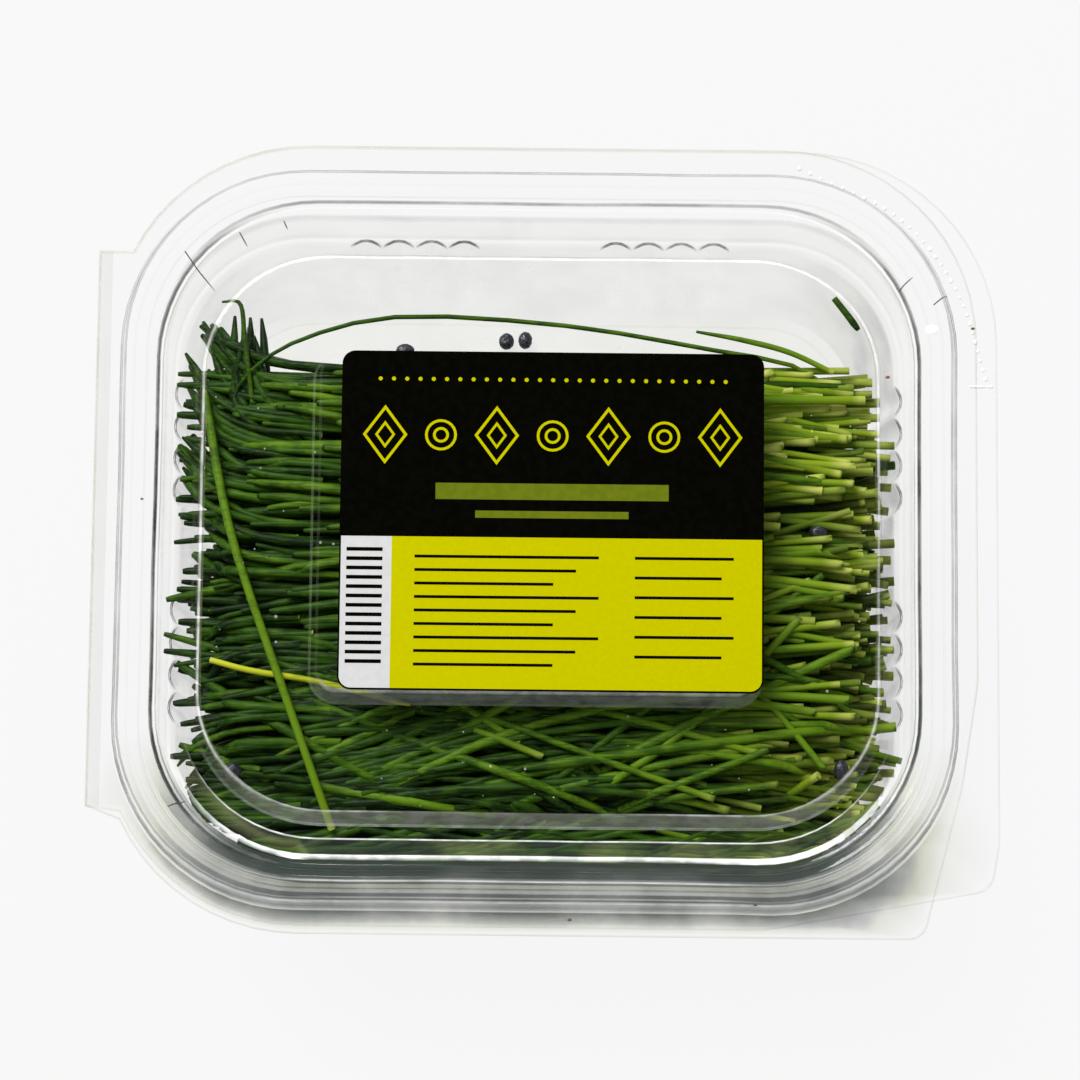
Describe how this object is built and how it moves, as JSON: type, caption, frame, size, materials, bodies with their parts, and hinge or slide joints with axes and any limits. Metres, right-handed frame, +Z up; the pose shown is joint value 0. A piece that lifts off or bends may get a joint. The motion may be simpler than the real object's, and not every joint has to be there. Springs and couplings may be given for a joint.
{
  "type": "packed chive microgreens",
  "caption": "Cut chive microgreens lying in a heap in a clear hinged tray with a raised label panel on its lid.",
  "frame": {"origin": "middle of the footprint, on the surface that the tray rests on", "axes": "+X away from the lid's hinge along the pack's length, +Y to the pack's back edge, +Z up out of the lid"},
  "size_m": [0.138, 0.122, 0.0494],
  "materials": {
    "clear_plastic": "clear, glossy, thermoformed sheet",
    "label_paper": "satin printed film",
    "chive_green": "fresh cut blades, faintly waxy",
    "chive_pale": "pale cut end of a blade",
    "chive_yellow": "yellowed blade",
    "hull_black": "dull black seed coat"
  },
  "bodies": {
    "tray_body": {"tray": "clear_plastic", "chive_bunch": "chive_green", "loose_blade_end": "chive_pale", "loose_blade_long": "chive_green", "loose_blade_yellow": "chive_yellow", "seed_hull_1": "hull_black", "seed_hull_2": "hull_black", "seed_hull_3": "hull_black", "seed_hull_4": "hull_black", "seed_hull_5": "hull_black", "seed_hull_6": "hull_black"},
    "lid_body": {"lid": "clear_plastic", "label": "label_paper"}
  },
  "joints": [
    {"name": "lid_hinge", "type": "hinge", "parent": "tray_body", "child": "lid_body", "pos_m": [-0.069, 0, 0.038], "axis": [0, -1, 0], "range_deg": [0, 180]}
  ]
}
